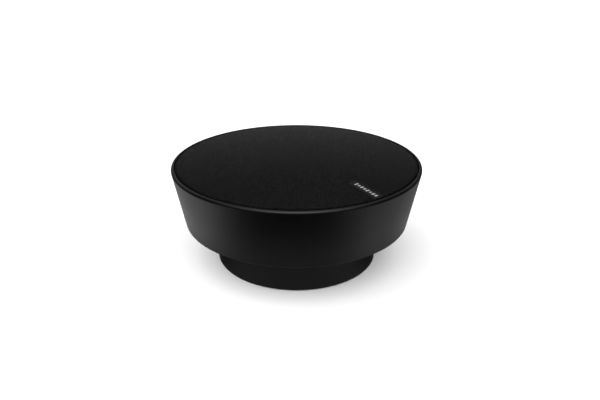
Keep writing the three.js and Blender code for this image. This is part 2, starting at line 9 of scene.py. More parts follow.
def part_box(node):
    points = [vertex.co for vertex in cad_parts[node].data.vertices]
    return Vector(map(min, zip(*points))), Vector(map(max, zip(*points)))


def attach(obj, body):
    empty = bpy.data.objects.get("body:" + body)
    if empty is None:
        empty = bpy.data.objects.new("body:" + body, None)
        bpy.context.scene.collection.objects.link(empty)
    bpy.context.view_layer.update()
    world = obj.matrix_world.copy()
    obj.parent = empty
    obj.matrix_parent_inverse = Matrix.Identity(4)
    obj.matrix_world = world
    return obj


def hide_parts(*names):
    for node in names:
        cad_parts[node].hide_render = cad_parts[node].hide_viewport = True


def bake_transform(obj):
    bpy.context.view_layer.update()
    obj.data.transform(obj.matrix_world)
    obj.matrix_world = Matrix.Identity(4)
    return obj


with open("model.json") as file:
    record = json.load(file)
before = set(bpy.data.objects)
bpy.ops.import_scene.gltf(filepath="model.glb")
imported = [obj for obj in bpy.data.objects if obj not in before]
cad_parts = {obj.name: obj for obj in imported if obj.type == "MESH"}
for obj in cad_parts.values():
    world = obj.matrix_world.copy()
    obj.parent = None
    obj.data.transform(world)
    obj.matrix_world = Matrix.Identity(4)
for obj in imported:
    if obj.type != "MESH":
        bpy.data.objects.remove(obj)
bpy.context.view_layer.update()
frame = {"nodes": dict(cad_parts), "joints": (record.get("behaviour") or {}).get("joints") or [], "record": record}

# ---- sizes, in millimetres
MM = 0.001


def box_mm(node):
    """The lowest and highest corner of a CAD node, in millimetres."""
    low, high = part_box(node)
    return low / MM, high / MM


def extent_mm(node):
    """A round CAD node's radius, bottom and top, in millimetres."""
    low, high = box_mm(node)
    return high.x, low.z, high.z


RIM_RADIUS, CABINET_BOTTOM, RIM_TOP = extent_mm("bowl_shell")
CABINET_FOOT_RADIUS = RIM_RADIUS - 10.5
WALL = 2.8
RIM_FILLET = 2.2
BORE_RADIUS = RIM_RADIUS - 3  # inside of the lip, around the grille
FLOOR_TOP = CABINET_BOTTOM + 3
FLOOR_HOLE_RADIUS = 30
LEDGE_RADIUS = 105
LEDGE_TOP = 79.5
COLLAR_RADIUS = 112.6
COLLAR_TOP = 94

FABRIC_RADIUS, FABRIC_HEM, FABRIC_CROWN = extent_mm("grille_fabric")
FABRIC_THICKNESS = 0.9
FABRIC_SHOULDER = 1.25  # radius of the fabric's rolled edge
FABRIC_DROP = 2  # how far the crown falls by the shoulder
FOLD_RADIUS = FABRIC_RADIUS - FABRIC_SHOULDER  # the middle of that edge
FOLD_HEIGHT = FABRIC_CROWN - FABRIC_DROP - FABRIC_SHOULDER
EDGE_RIBS = 304  # round the fabric's edge

BAFFLE_RADIUS, BAFFLE_BOTTOM, BAFFLE_TOP = extent_mm("baffle_plate")

PEDESTAL_TOP_RADIUS, PEDESTAL_BOTTOM, PEDESTAL_TOP = extent_mm("pedestal_shell")
PEDESTAL_FOOT_RADIUS = PEDESTAL_TOP_RADIUS - 1.9

FLANGE_RADIUS, _, FLANGE_TOP = extent_mm("woofer_basket")
FLANGE_BOTTOM = FLANGE_TOP - 1.8
CONE_RADIUS = extent_mm("woofer_cone")[0]
COIL_RADIUS = 13.3

TWEETER_CIRCLE = 84
TWEETER_ANGLES = (30, 150, 270)
PEG_CIRCLE = 103
PEG_ANGLES = (90, 210, 330)
PORT_CIRCLE = 94.5
# Where the screws stand: the radius of their circle, and their angles.
BOSSES = (70, (60, 180, 300))  # between the pedestal and the cabinet
COLUMNS = (59, (0, 120, 240))  # in the pedestal's floor plate
WOOFER_SCREWS = (57.2, (45, 135, 225, 315))
BAFFLE_SCREWS = (108.7, (0, 60, 180, 240))
THROUGH_BAFFLE = (70, 90)  # from below the baffle to above it
HEAD_HEIGHT = 1.9  # of every screw

BUTTON_HEIGHT = 67.5
BUTTON_RADIUS = 4.5
LED_ANGLE = 121
BAY_HALF_WIDTH = 21
BAY_BOTTOM = 48.6
BAY_TOP = 60.2
HINGE_HEIGHT = 50.4
EAR_INNER = 12.5  # the bay's two ears carry the pin of the port cover
EAR_OUTER = 15
SOCKET_HEIGHT = 55
SOCKET_X = 8.5

TAG_ANGLE = -58.8  # the way the tag points, seen from above
TAG_OFFSET = 10.2  # how far its middle line passes from the axis
TAG_WIDTH = 10.6
TAG_INNER = 76
TAG_END = 115.2  # measured over the knit's fold

SMOOTH = 256  # segments round the big circles
MEDIUM = 128
SMALL = 48

# The cabinet's wall is a cone between its foot and the start of the rim's fillet.
wall_tilt = math.atan((RIM_RADIUS - CABINET_FOOT_RADIUS) / (RIM_TOP - CABINET_BOTTOM))
RIM_CORNER = RIM_RADIUS - RIM_FILLET + RIM_FILLET * (1 / math.cos(wall_tilt) + math.tan(wall_tilt))


def wall_radius(height):
    """The radius of the cabinet's outer wall at a height."""
    share = (height - CABINET_BOTTOM) / (RIM_TOP - CABINET_BOTTOM)
    return CABINET_FOOT_RADIUS + share * (RIM_CORNER - CABINET_FOOT_RADIUS)


def polar(circle, degrees):
    """X and Y of a point on a circle."""
    angle = math.radians(degrees)
    return circle * math.cos(angle), circle * math.sin(angle)


def spin(degrees, axis="Z"):
    return Matrix.Rotation(math.radians(degrees), 4, axis)


def at(x, y, z=0.0, turn=0.0):
    """A place in millimetres, turned about +Z by degrees."""
    return Matrix.Translation((x, y, z)) @ spin(turn)


def on_wall(degrees, height):
    """A frame on the cabinet's wall whose +Z points straight out, and whose +X points up the wall."""
    upright = spin(degrees) @ Matrix.Translation((wall_radius(height), 0, height))
    return upright @ spin(math.degrees(wall_tilt) + 90, "Y") @ spin(180)


# ---- outlines
def rounded(corners, steps=6):
    """The outline through corners of (x, y) or (x, y, fillet), with the filleted ones rounded."""
    outline = []
    for i, (x, y, *fillet) in enumerate(corners):
        corner = Vector((x, y))
        if not any(fillet):
            outline.append((x, y))
            continue
        before = (Vector(corners[i - 1][:2]) - corner).normalized()
        after = (Vector(corners[(i + 1) % len(corners)][:2]) - corner).normalized()
        half = before.angle(after) / 2
        reach = fillet[0] / math.tan(half)
        centre = corner + (before + after).normalized() * fillet[0] / math.sin(half)
        first = corner + before * reach - centre
        last = corner + after * reach - centre
        sweep = first.angle(last)
        for k in range(steps + 1):
            t = k / steps
            blended = first * math.sin((1 - t) * sweep) + last * math.sin(t * sweep)
            outline.append(tuple(centre + blended / math.sin(sweep)))
    return outline


def arc(x, y, radius, start, end, steps):
    """Points of an arc from one angle to another, in degrees."""
    angles = [math.radians(start + (end - start) * k / steps) for k in range(steps + 1)]
    return [(x + radius * math.cos(a), y + radius * math.sin(a)) for a in angles]


def box(left, right, low, high, fillet=0.0):
    """A rectangle's outline."""
    return rounded([(left, low, fillet), (right, low, fillet), (right, high, fillet), (left, high, fillet)])


def rectangle(half_x, low, high, fillet):
    """The outline of a rectangle across the Y axis."""
    return box(-half_x, half_x, low, high, fillet)


def stadium(x, y, half_length, half_width, steps=10):
    """A slot's outline about a point, long in X."""
    reach = half_length - half_width
    return arc(x + reach, y, half_width, -90, 90, steps) + arc(x - reach, y, half_width, 90, 270, steps)


# ---- solids
def new_object(name, mesh, place=None):
    """An object in the scene from a bmesh whose coordinates are in millimetres."""
    bmesh.ops.remove_doubles(mesh, verts=mesh.verts, dist=1e-4)
    bmesh.ops.recalc_face_normals(mesh, faces=mesh.faces)
    if place is not None:
        bmesh.ops.transform(mesh, matrix=place, verts=mesh.verts)
    bmesh.ops.scale(mesh, vec=(MM, MM, MM), verts=mesh.verts)
    data = bpy.data.meshes.new(name)
    mesh.to_mesh(data)
    mesh.free()
    made = bpy.data.objects.new(name, data)
    bpy.context.scene.collection.objects.link(made)
    return made


def turned(name, outline, segments, place=None):
    """A body of revolution about +Z from (radius, height) points, closed on itself or on the axis."""
    mesh = bmesh.new()
    rings = []
    for radius, height in outline:
        count = segments if radius > 1e-6 else 1
        rings.append([mesh.verts.new((*polar(radius, 360 * i / count), height)) for i in range(count)])
    pairs = list(zip(rings, rings[1:]))
    if outline[0][0] > 1e-6:
        pairs.append((rings[-1], rings[0]))
    for low, high in pairs:
        for i in range(segments):
            j = i + 1
            corners = [low[i % len(low)], low[j % len(low)], high[j % len(high)], high[i % len(high)]]
            distinct = list(dict.fromkeys(corners))
            if len(distinct) > 2:
                mesh.faces.new(distinct)
    return new_object(name, mesh, place)


def turned_at(name, outline, circle, angles, segments=24):
    """Copies of a body of revolution round a circle."""
    return [
        turned(f"{name}_{i}", outline, segments, at(*polar(circle, angle)))
        for i, angle in enumerate(angles)
    ]


def rods(name, circle, angles, radius, low, high, segments=24):
    """Upright rods round a circle."""
    return turned_at(name, box(0, radius, low, high), circle, angles, segments)


def slab(name, outline, low, high, place=None):
    """An outline in X and Y, raised from low to high."""
    mesh = bmesh.new()
    lower, upper = [[mesh.verts.new((x, y, z)) for x, y in outline] for z in (low, high)]
    mesh.faces.new(lower)
    mesh.faces.new(upper)
    for i in range(len(outline)):
        j = (i + 1) % len(outline)
        mesh.faces.new((lower[i], lower[j], upper[j], upper[i]))
    return new_object(name, mesh, place)


def crossing_bars(name, half_length, half_width, low, high, angles):
    """Flat bars that cross on the axis."""
    outline = box(-half_length, half_length, -half_width, half_width)
    return [slab(f"{name}_{angle}", outline, low, high, spin(angle)) for angle in angles]


def slab_along_y(name, outline, low, high):
    """An outline in X and Z, raised along +Y from low to high."""
    return slab(name, outline, -high, -low, spin(90, "X"))


def lathe_along(axis, name, outline, place, segments=SMALL):
    """A body turned about +X or +Y: (radius, distance along the axis)."""
    turn = spin(90, "Y") if axis == "X" else spin(-90, "X")
    return turned(name, outline, segments, Matrix.Translation(place) @ turn)


def bake_modifiers(obj):
    """Makes what the object's modifiers do part of its mesh."""
    graph = bpy.context.evaluated_depsgraph_get()
    data = bpy.data.meshes.new_from_object(obj.evaluated_get(graph))
    obj.modifiers.clear()
    obj.data = data


def combine(obj, tools, operation):
    """Cuts obj by the tools, or joins them to it, and removes them."""
    for tool in tools:
        modifier = obj.modifiers.new(tool.name, "BOOLEAN")
        modifier.operation = operation
        modifier.solver = "EXACT"
        modifier.object = tool
    bake_modifiers(obj)
    for tool in tools:
        bpy.data.objects.remove(tool)
    return obj


def cut(obj, *tools):
    return combine(obj, tools, "DIFFERENCE")


def joined(obj, *tools):
    return combine(obj, tools, "UNION")


def common(obj, *tools):
    return combine(obj, tools, "INTERSECT")


def soften(obj, width, segments):
    """Rounds the sharp edges of a piece."""
    modifier = obj.modifiers.new("soften", "BEVEL")
    modifier.width = width * MM
    modifier.segments = segments
    modifier.limit_method = "ANGLE"
    modifier.angle_limit = math.radians(50)
    bake_modifiers(obj)


def move(obj, place):
    """Moves a mesh by a place in millimetres."""
    obj.data.transform(Matrix.Scale(MM, 4) @ place @ Matrix.Scale(1 / MM, 4))


def merged(name, parts):
    """The first part, with the meshes of the others added to its own."""
    whole = parts[0]
    whole.name = name
    mesh = bmesh.new()
    for part in parts:
        mesh.from_mesh(part.data)
    mesh.to_mesh(whole.data)
    mesh.free()
    for part in parts[1:]:
        bpy.data.objects.remove(part)
    return whole


# ---- materials
class Nodes:
    """Builds a node tree. Numbers and other nodes' outputs can both feed a socket."""

    def __init__(self, tree):
        self.tree = tree

    def add(self, kind, inputs=None, **settings):
        node = self.tree.nodes.new("ShaderNode" + kind)
        for name, value in settings.items():
            setattr(node, name, value)
        for name, value in (inputs or {}).items():
            self.feed(node.inputs[name], value)
        return node

    def feed(self, socket, value):
        if isinstance(value, bpy.types.NodeSocket):
            self.tree.links.new(value, socket)
        else:
            socket.default_value = value

    def math(self, operation, first, second=0.0, clamp=False):
        inputs = {0: first, 1: second}
        return self.add("Math", inputs, operation=operation, use_clamp=clamp).outputs[0]

    def product(self, first, *others):
        for other in others:
            first = self.math("MULTIPLY", first, other)
        return first

    def total(self, first, *others):
        for other in others:
            first = self.math("ADD", first, other)
        return first

    def span(self, value, low, high, start=0.0, end=1.0, **settings):
        """Stretches a value from start..end to low..high, and holds it between them."""
        inputs = {0: value, 1: start, 2: end, 3: low, 4: high}
        return self.add("MapRange", inputs, **settings).outputs[0]

    def ease(self, value, low, high, start, end):
        """Like span, with a soft start and end."""
        return self.span(value, low, high, start, end, interpolation_type="SMOOTHSTEP")

    def axes(self, vector):
        """The vector's X, Y and Z."""
        return self.add("SeparateXYZ", {"Vector": vector}).outputs


class Look(Nodes):
    """A procedural material. Its patterns are placed by the row frame, in metres."""

    def __init__(self, name):
        self.material = bpy.data.materials.new(name)
        self.material.use_nodes = True
        super().__init__(self.material.node_tree)
        self.shader = self.tree.nodes["Principled BSDF"]
        self.place = self.add("TexCoord").outputs["Object"]

    def set(self, **inputs):
        """Feeds the shader's sockets. An underscore stands for a space."""
        for name, value in inputs.items():
            self.feed(self.shader.inputs[name.replace("_", " ")], value)

    def noise(self, scale, detail=2.0, stretch=None):
        """Noise from 0 to 1, with about scale grains to the metre. A stretch scales the axes."""
        place = self.place
        if stretch:
            place = self.add("Mapping", {"Vector": place, "Scale": stretch}).outputs[0]
        return self.add("TexNoise", {"Vector": place, "Scale": scale, "Detail": detail}).outputs["Fac"]

    def cells(self, scale, **settings):
        """The distance to the nearest of scattered points, with about scale points to the metre."""
        return self.add("TexVoronoi", {"Vector": self.place, "Scale": scale}, **settings).outputs["Distance"]

    def wave(self, distance, pitch):
        """A sine from -1 to 1 along a distance, with a pitch in millimetres."""
        return self.math("SINE", self.product(distance, 2 * math.pi / (pitch * MM)))

    def scaled(self, color, factor):
        """A colour multiplied by a factor."""
        return self.add("VectorMath", {0: color, "Scale": factor}, operation="SCALE").outputs[0]

    def tint(self, color, value, darkest, lightest):
        """A colour multiplied by a value from 0 to 1 that is stretched to darkest..lightest."""
        return self.scaled(color, self.span(value, darkest, lightest))

    def bump(self, height, depth, strength=1.0, under=None):
        """A bump of a height from 0 to 1, with a depth in millimetres, over another bump."""
        inputs = {"Height": height, "Distance": depth * MM, "Strength": strength}
        if under is not None:
            inputs["Normal"] = under
        return self.add("Bump", inputs).outputs[0]


def moulded_plastic(look, color, roughness, grain=0.012, pitch=0.35, specular=0.5):
    """Injection-moulded plastic with a fine spark-eroded texture and faint handling marks."""
    cloud = look.noise(22, 4)
    texture = look.noise(1 / (pitch * MM), 3)
    marks = look.noise(90, 5)
    worn = look.span(cloud, roughness - 0.03, roughness + 0.03)
    look.set(
        Base_Color=look.tint(color, cloud, 0.88, 1.12),
        Roughness=look.total(worn, look.span(marks, -0.02, 0.02)),
        Normal=look.bump(texture, grain),
        Specular_IOR_Level=specular,
    )


def speckled(look, color, noise, shades, roughness, relief=None, **others):
    """A material with a single noise, which shades it, varies its roughness and may raise it."""
    speck = look.noise(*noise)
    if relief:
        others["Normal"] = look.bump(speck, *relief)
    look.set(
        Base_Color=look.tint(color, speck, *shades),
        Roughness=look.span(speck, *roughness),
        **others,
    )


def silver_ink(look):
    speckled(look, (0.42, 0.425, 0.435), (5200, 2), (0.8, 1.15), (0.34, 0.5), Metallic=0.35)


def ferrite(look):
    speckled(look, (0.035, 0.035, 0.038), (1800, 4), (0.6, 1.5), (0.6, 0.85), (0.03,))


def cell_wrap(look):
    color, creases = (0.012, 0.07, 0.25), (140, 5, (0.2, 1, 1))
    speckled(look, color, creases, (0.8, 1.2), (0.2, 0.36), (0.2, 0.4))


def clear_lens(look):
    speckled(
        look, (0.75, 0.8, 0.84), (400, 2), (0.9, 1.05), (0.08, 0.16), Coat_Weight=0.5,
        Subsurface_Weight=0.2,
    )


def shell_plastic(look):
    moulded_plastic(look, (0.0009, 0.0009, 0.00095), 0.3)


def pedestal_plastic(look):
    moulded_plastic(look, (0.0012, 0.0012, 0.0013), 0.36)


def inner_plastic(look):
    moulded_plastic(look, (0.016, 0.016, 0.018), 0.55, grain=0.03, pitch=0.7)


def cable_skin(look):
    moulded_plastic(look, (0.011, 0.011, 0.011), 0.5, grain=0.03, pitch=0.4)


def tag_rubber(look):
    moulded_plastic(look, (0.0075, 0.0075, 0.008), 0.62, grain=0.01, pitch=0.25, specular=0.12)


def black_rubber(look):
    moulded_plastic(look, (0.0075, 0.0075, 0.008), 0.68, grain=0.02, pitch=0.5, specular=0.3)


def knit(look, pitch_x, pitch_y):
    """The height of a knitted surface, from 0 in the holes to 1 on the loops."""
    x, y, _ = look.axes(look.place)
    column = look.math("PINGPONG", look.product(x, 1 / (pitch_x * MM)), 0.5)
    along = look.product(y, 1 / (pitch_y * MM))
    slant = 1.1  # how many rows a loop's leg climbs across its column
    row = look.math("PINGPONG", look.total(along, look.product(column, slant)), 0.5)
    wale = look.math("SINE", look.product(column, 2 * math.pi))
    course = look.math("SINE", look.product(row, 2 * math.pi))
    return look.math("MULTIPLY", look.total(course, 0.25), look.total(wale, 0.35), clamp=True)


def painted_edge_shade(look):
    """Painted shade: dark low in the fold of the knit's edge, and between the ribs there."""
    x, y, z = look.axes(look.place)
    fold = FABRIC_CROWN - FABRIC_DROP
    # Painted shade in the fold, where the knit turns down under the lip.
    low = look.ease(z, 0.02, 1, (fold - 0.75) * MM, (fold - 0.05) * MM)
    around = look.product(look.math("ARCTAN2", y, x), EDGE_RIBS)
    between = look.span(look.math("COSINE", around), 1, 0, -1, 1)
    radius = look.math("SQRT", look.total(look.math("POWER", x, 2), look.math("POWER", y, 2)))
    # Painted shade between the ribs near the knit's edge.
    edge = look.ease(radius, 0, 0.9, (FABRIC_RADIUS - 2.6) * MM, (FABRIC_RADIUS - 1.2) * MM)
    return look.product(low, look.math("SUBTRACT", 1, look.product(edge, between)))


def grille_cloth(look):
    """Black knit: dark between its loops, uneven from loop to loop, made paler at a flat angle by a painted sheen,
    with painted shade at its edge.
    """
    loops = knit(look, 2.2, 2.0)
    fuzz = look.noise(3200, 3)
    uneven = look.noise(760, 1)
    cloud = look.noise(14, 3)
    shade = look.product(
        look.span(loops, 0.1, 1.5),
        look.span(fuzz, 0.7, 1.3),
        look.span(cloud, 0.9, 1.1),
        look.span(uneven, 0.4, 1.6, 0.3, 0.7),
        painted_edge_shade(look),
    )
    # Painted sheen: the colour is made paler where the knit is seen at a flat angle.
    facing = look.add("LayerWeight", {"Blend": 0.5}).outputs["Facing"]
    grazing = look.math("POWER", look.span(facing, 0, 1, 0.56, 0.75), 2.4)
    painted_glow = look.total(1.05, look.product(grazing, 3))
    look.set(
        Base_Color=look.scaled((0.0047, 0.0047, 0.0048), look.product(shade, painted_glow)),
        Roughness=look.span(fuzz, 0.7, 0.9),
        Normal=look.bump(fuzz, 0.05, 0.5, look.bump(loops, 0.22, 0.8)),
        Sheen_Weight=0.018,
        Sheen_Roughness=0.15,
        Specular_IOR_Level=0.02,
    )


def foam(look):
    pores = look.cells(1400)
    look.set(
        Base_Color=look.tint((0.014, 0.014, 0.014), pores, 1.4, 0.3),
        Roughness=0.95,
        Normal=look.bump(pores, 0.2, 0.6),
        Specular_IOR_Level=0.2,
    )


def steel(look):
    """Bare steel with fine marks drawn out along Z."""
    brushed = look.noise(900, 4, (1, 1, 0.05))
    patches = look.noise(60, 3)
    look.set(
        Base_Color=look.tint((0.42, 0.43, 0.45), brushed, 0.85, 1.12),
        Metallic=1.0,
        Roughness=look.total(look.span(brushed, 0.24, 0.4), look.span(patches, -0.04, 0.04)),
        Normal=look.bump(brushed, 0.004, 0.4),
    )


def copper(look):
    """Enamelled wire, wound in turns about the axis."""
    wire = look.span(look.wave(look.axes(look.place)["Z"], 0.28), 0, 1, -1, 1)
    look.set(
        Base_Color=look.tint((0.5, 0.17, 0.05), wire, 0.45, 1.1),
        Metallic=0.9,
        Roughness=0.3,
        Normal=look.bump(wire, 0.1),
    )


def black_steel(look):
    """Powder coat: a semi-gloss skin with orange peel."""
    peel = look.noise(900, 2)
    speck = look.noise(3000, 1)
    look.set(
        Base_Color=look.tint((0.016, 0.016, 0.018), speck, 0.8, 1.2),
        Roughness=look.span(peel, 0.3, 0.42),
        Normal=look.bump(peel, 0.05, 0.5),
        Coat_Weight=0.15,
        Coat_Roughness=0.3,
    )


def cone_paper(look):
    """Pressed paper pulp with long fibres and fine specks."""
    fibres = look.noise(700, 5, (1, 1, 0.6))
    specks = look.noise(2600, 2)
    look.set(
        Base_Color=look.tint((0.02, 0.02, 0.022), fibres, 0.55, 1.5),
        Roughness=look.span(specks, 0.55, 0.75),
        Normal=look.bump(specks, 0.03, 0.6, look.bump(fibres, 0.12, 0.5)),
    )


def woven(look, color, pitch, roughness, **others):
    """Cloth in a plain weave."""
    x, y, _ = look.axes(look.place)
    weave = look.span(look.product(look.wave(x, pitch), look.wave(y, pitch)), 0, 1, -1, 1)
    cloud = look.noise(120, 3)
    shade = look.product(look.span(weave, 0.6, 1.2), look.span(cloud, 0.8, 1.2))
    look.set(
        Base_Color=look.tint(color, shade, 0, 1),
        Roughness=roughness,
        Normal=look.bump(weave, 0.12, 0.7),
        Sheen_Weight=0.2,
        **others,
    )


def spider_cloth(look):
    woven(look, (0.42, 0.22, 0.07), 0.9, 0.85)


def dome_silk(look):
    woven(look, (0.018, 0.018, 0.02), 0.5, 0.45, Coat_Weight=0.3, Coat_Roughness=0.35)


def circuit_board(look):
    """Green solder mask over a maze of copper tracks."""
    distance = look.cells(320, distance="MANHATTAN")
    tracks = look.math("GREATER_THAN", look.math("PINGPONG", distance, 0.18), 0.1)
    between, over_track = (0.004, 0.05, 0.018, 1), (0.012, 0.12, 0.045, 1)
    # The mix node's colour sockets are its inputs 6 and 7 and its output 2.
    color = look.add("Mix", {0: tracks, 6: between, 7: over_track}, data_type="RGBA")
    look.set(
        Base_Color=color.outputs[2],
        Roughness=look.span(look.noise(60, 3), 0.25, 0.4),
        Normal=look.bump(tracks, 0.03),
        Coat_Weight=0.3,
    )


def made_look(maker):
    """The material that a function builds, under that function's own name."""
    look = Look(maker.__name__)
    maker(look)
    return look.material


LOOK_MAKERS = (
    shell_plastic, pedestal_plastic, inner_plastic, cable_skin, grille_cloth, tag_rubber, silver_ink,
    black_rubber, foam, steel, black_steel, ferrite, cone_paper, spider_cloth, dome_silk, copper,
    circuit_board, cell_wrap, clear_lens,
)
LOOKS = {maker.__name__: made_look(maker) for maker in LOOK_MAKERS}


# ---- finishing a piece
def shade(obj):
    """Smooth shading that breaks at sharp edges, and leans towards the large faces."""
    obj.data.shade_smooth()
    obj.data.set_sharp_from_angle(angle=math.radians(32))
    normals = obj.modifiers.new("normals", "WEIGHTED_NORMAL")
    normals.keep_sharp = True
    normals.weight = 80


def show(obj, slot, *nodes, body="cabinet", look=None):
    """Finishes a piece: its material, shading and body, and the CAD nodes that it stands for."""
    obj.data.materials.clear()
    obj.data.materials.append(LOOKS[look or slot])
    shade(obj)
    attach(obj, body)
    if nodes:
        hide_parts(*nodes)


# ---- cabinet
buttons = {
    joint["child"]: math.degrees(math.atan2(-joint["axis"][1], -joint["axis"][0]))
    for joint in frame["joints"]
    if joint["name"].endswith("_press")
}


def outwards(name, outline, degrees, segments=SMALL):
    """A body turned about a line that points straight out of the wall: (radius, distance out)."""
    return turned(name, outline, segments, on_wall(degrees, BUTTON_HEIGHT))


def wall_hole(name, radius, chamfer, degrees):
    """A cutter for a round hole in the wall, with a chamfered mouth."""
    past = 1.5  # how far the cutter stands out of the wall
    mouth = [(radius, -chamfer), (radius + chamfer + past, past)]
    return outwards(name, [(0, -6), (radius, -6), *mouth, (0, past)], degrees)


def cabinet_shell():
    body = turned("cabinet_shell", rounded([
        (FLOOR_HOLE_RADIUS, CABINET_BOTTOM, 0.3),
        (CABINET_FOOT_RADIUS, CABINET_BOTTOM, 1.1),
        (RIM_CORNER, RIM_TOP, RIM_FILLET),
        (BORE_RADIUS, RIM_TOP, 0.35),
        (BORE_RADIUS, COLLAR_TOP),
        (COLLAR_RADIUS, COLLAR_TOP, 0.3),
        (COLLAR_RADIUS, LEDGE_TOP),
        (LEDGE_RADIUS, LEDGE_TOP, 0.4),
        (LEDGE_RADIUS, LEDGE_TOP - 2.5, 0.4),
        (wall_radius(LEDGE_TOP - 5) - WALL, LEDGE_TOP - 5, 2),
        (wall_radius(FLOOR_TOP) - WALL, FLOOR_TOP, 2),
        (FLOOR_HOLE_RADIUS, FLOOR_TOP, 0.3),
    ]), SMOOTH)
    holes = [wall_hole(f"{name}_hole", BUTTON_RADIUS + 0.4, 0.35, angle) for name, angle in buttons.items()]
    holes.append(wall_hole("led_hole", 1.6, 0.2, LED_ANGLE))
    holes += [turned(f"port_hole_{i}", box(0, 11, 40, 50), SMALL, at(i * PORT_CIRCLE, 0)) for i in (-1, 1)]
    holes += rods("boss_hole", *BOSSES, 1.6, CABINET_BOTTOM - 1, FLOOR_TOP + 3)
    holes += rods("baffle_hole", *BAFFLE_SCREWS, 1.5, *THROUGH_BAFFLE)
    bay = rectangle(BAY_HALF_WIDTH + 0.3, BAY_BOTTOM - 0.3, BAY_TOP + 0.3, 1.6)
    holes.append(slab_along_y("bay_opening", bay, 95, 125))
    joined(body, *rods("boss", *BOSSES, 4, FLOOR_TOP - 1, FLOOR_TOP + 4.5, 32))
    cut(body, *holes)
    show(body, "shell_plastic", "bowl_shell")


def bass_port(side):
    """A flanged tube with a flared mouth, through the cabinet's floor."""
    foot = CABINET_BOTTOM - 1.3
    bore, flare, lip = 8.4, 3, 0.5
    outline = [
        *arc(bore + flare, foot + flare, flare, 270, 180, 8), (bore, 60), (9, 72), (10.6, 72),
        (10.6, CABINET_BOTTOM - 0.3), *arc(11.5, foot + lip, lip, 60, -90, 5),
    ]
    name = "bass_port_right" if side > 0 else "bass_port_left"
    piece = turned(f"{name}_tube", outline, SMALL, at(side * PORT_CIRCLE, 0))
    show(piece, "inner_plastic", name)


def baffle():
    body = turned("baffle_board", rounded([
        (0, BAFFLE_BOTTOM),
        (BAFFLE_RADIUS, BAFFLE_BOTTOM, 0.3),
        (BAFFLE_RADIUS, BAFFLE_TOP, 0.7),
        (0, BAFFLE_TOP),
    ]), SMOOTH)
    low, high = THROUGH_BAFFLE[0], BAFFLE_TOP + 1
    rebate, rebate_floor = FLANGE_RADIUS + 0.5, FLANGE_BOTTOM - 1.6
    holes = [turned("woofer_hole", [
        (0, low), (55.5, low), (55.5, rebate_floor), (rebate, rebate_floor), (rebate, BAFFLE_TOP - 0.5),
        (rebate + 1.5, high), (0, high),
    ], MEDIUM)]
    holes += rods("tweeter_hole", TWEETER_CIRCLE, TWEETER_ANGLES, 18.2, *THROUGH_BAFFLE, SMALL)
    peg_hole = [(0, low), (2.7, low), (2.7, BAFFLE_TOP - 0.6), (4.3, high), (0, high)]
    holes += turned_at("peg_hole", peg_hole, PEG_CIRCLE, PEG_ANGLES, 32)
    holes += rods("baffle_hole", *BAFFLE_SCREWS, 1.6, *THROUGH_BAFFLE)
    holes += rods("woofer_screw_hole", *WOOFER_SCREWS, 1.3, *THROUGH_BAFFLE)
    cut(body, *holes)
    show(body, "inner_plastic", "baffle_plate")


# ---- grille
def skin(offset, crown_steps=40, edge_steps=10):
    """The grille's outer skin from the axis outwards, moved out by an offset."""
    radii = [FOLD_RADIUS * k / crown_steps for k in range(crown_steps)]
    crown = [(r, FABRIC_CROWN - FABRIC_DROP * (r / FOLD_RADIUS) ** 2 + offset) for r in radii]
    return crown + arc(FOLD_RADIUS, FOLD_HEIGHT, FABRIC_SHOULDER + offset, 90, 0, edge_steps)


def grille_knit():
    """The stretched cover: a crown, a rolled edge and a round hem."""
    hem = FABRIC_THICKNESS / 2
    hem_arc = arc(FABRIC_RADIUS - hem, FABRIC_HEM + hem, hem, 0, -180, 6)
    piece = turned("grille_knit", skin(0) + hem_arc + skin(-FABRIC_THICKNESS)[::-1], SMOOTH)
    show(piece, "grille_cloth", "grille_fabric", body="grille")


def grille_carrier():
    """The domed frame under the knit: a rim, a middle ring, a hub and spokes, with three push pegs."""
    under = -FABRIC_THICKNESS - 0.3
    low = COLLAR_TOP + 0.3
    dome = turned("grille_carrier", skin(under, 20, 6) + [(FABRIC_RADIUS + under, low), (0, low)], MEDIUM)
    pattern = [
        turned(name, box(inner, outer, 90, 110), MEDIUM)
        for name, inner, outer in (("outer_ring", 108.5, 118), ("middle_ring", 62, 67), ("hub", 0, 9))
    ]
    pattern += crossing_bars("spoke", 112, 2.5, 90, 110, (0, 60, 120))
    common(dome, joined(*pattern))
    underside = 97.3
    cut(dome, turned("clearance", box(0, 107.5, 90, underside), MEDIUM))
    foot = box_mm("grille_frame")[0].z
    head = [(2.3, underside), (4.2, underside), (4.2, underside + 0.8), (0, underside + 0.8)]
    pegs = turned_at("peg", rounded([(0, foot), (2.3, foot, 0.9), *head]), PEG_CIRCLE, PEG_ANGLES, 32)
    pegs += [slab(f"arm_{angle}", box(100, 112, -2.5, 2.5), 97.4, 98.15, spin(angle)) for angle in PEG_ANGLES]
    joined(dome, *pegs)
    show(dome, "inner_plastic", "grille_frame", body="grille")


def grille_edge():
    """The knit's ribs, where it folds over the edge of the frame. They stand just proud of the knit."""
    steps_per_rib, swell, proud, thickness = 6, 0.18, 0.03, 0.4
    outside = arc(FOLD_RADIUS, FOLD_HEIGHT, FABRIC_SHOULDER + proud, 80, 0, 9)
    outside.append((FABRIC_RADIUS + proud, FOLD_HEIGHT - 1.2))
    inside = [(r - thickness, z) for r, z in reversed(outside)]
    piece = turned("grille_edge", outside + inside, EDGE_RIBS * steps_per_rib)
    for vertex in piece.data.vertices:
        around = math.atan2(vertex.co.y, vertex.co.x)
        out = (vertex.co.xy.length / MM - FOLD_RADIUS) / FABRIC_SHOULDER
        lift = swell * max(0.0, out - 0.2) * (0.5 + 0.5 * math.cos(EDGE_RIBS * around)) * MM
        vertex.co.x += lift * math.cos(around)
        vertex.co.y += lift * math.sin(around)
    show(piece, "grille_cloth", "grille_fabric", body="grille")


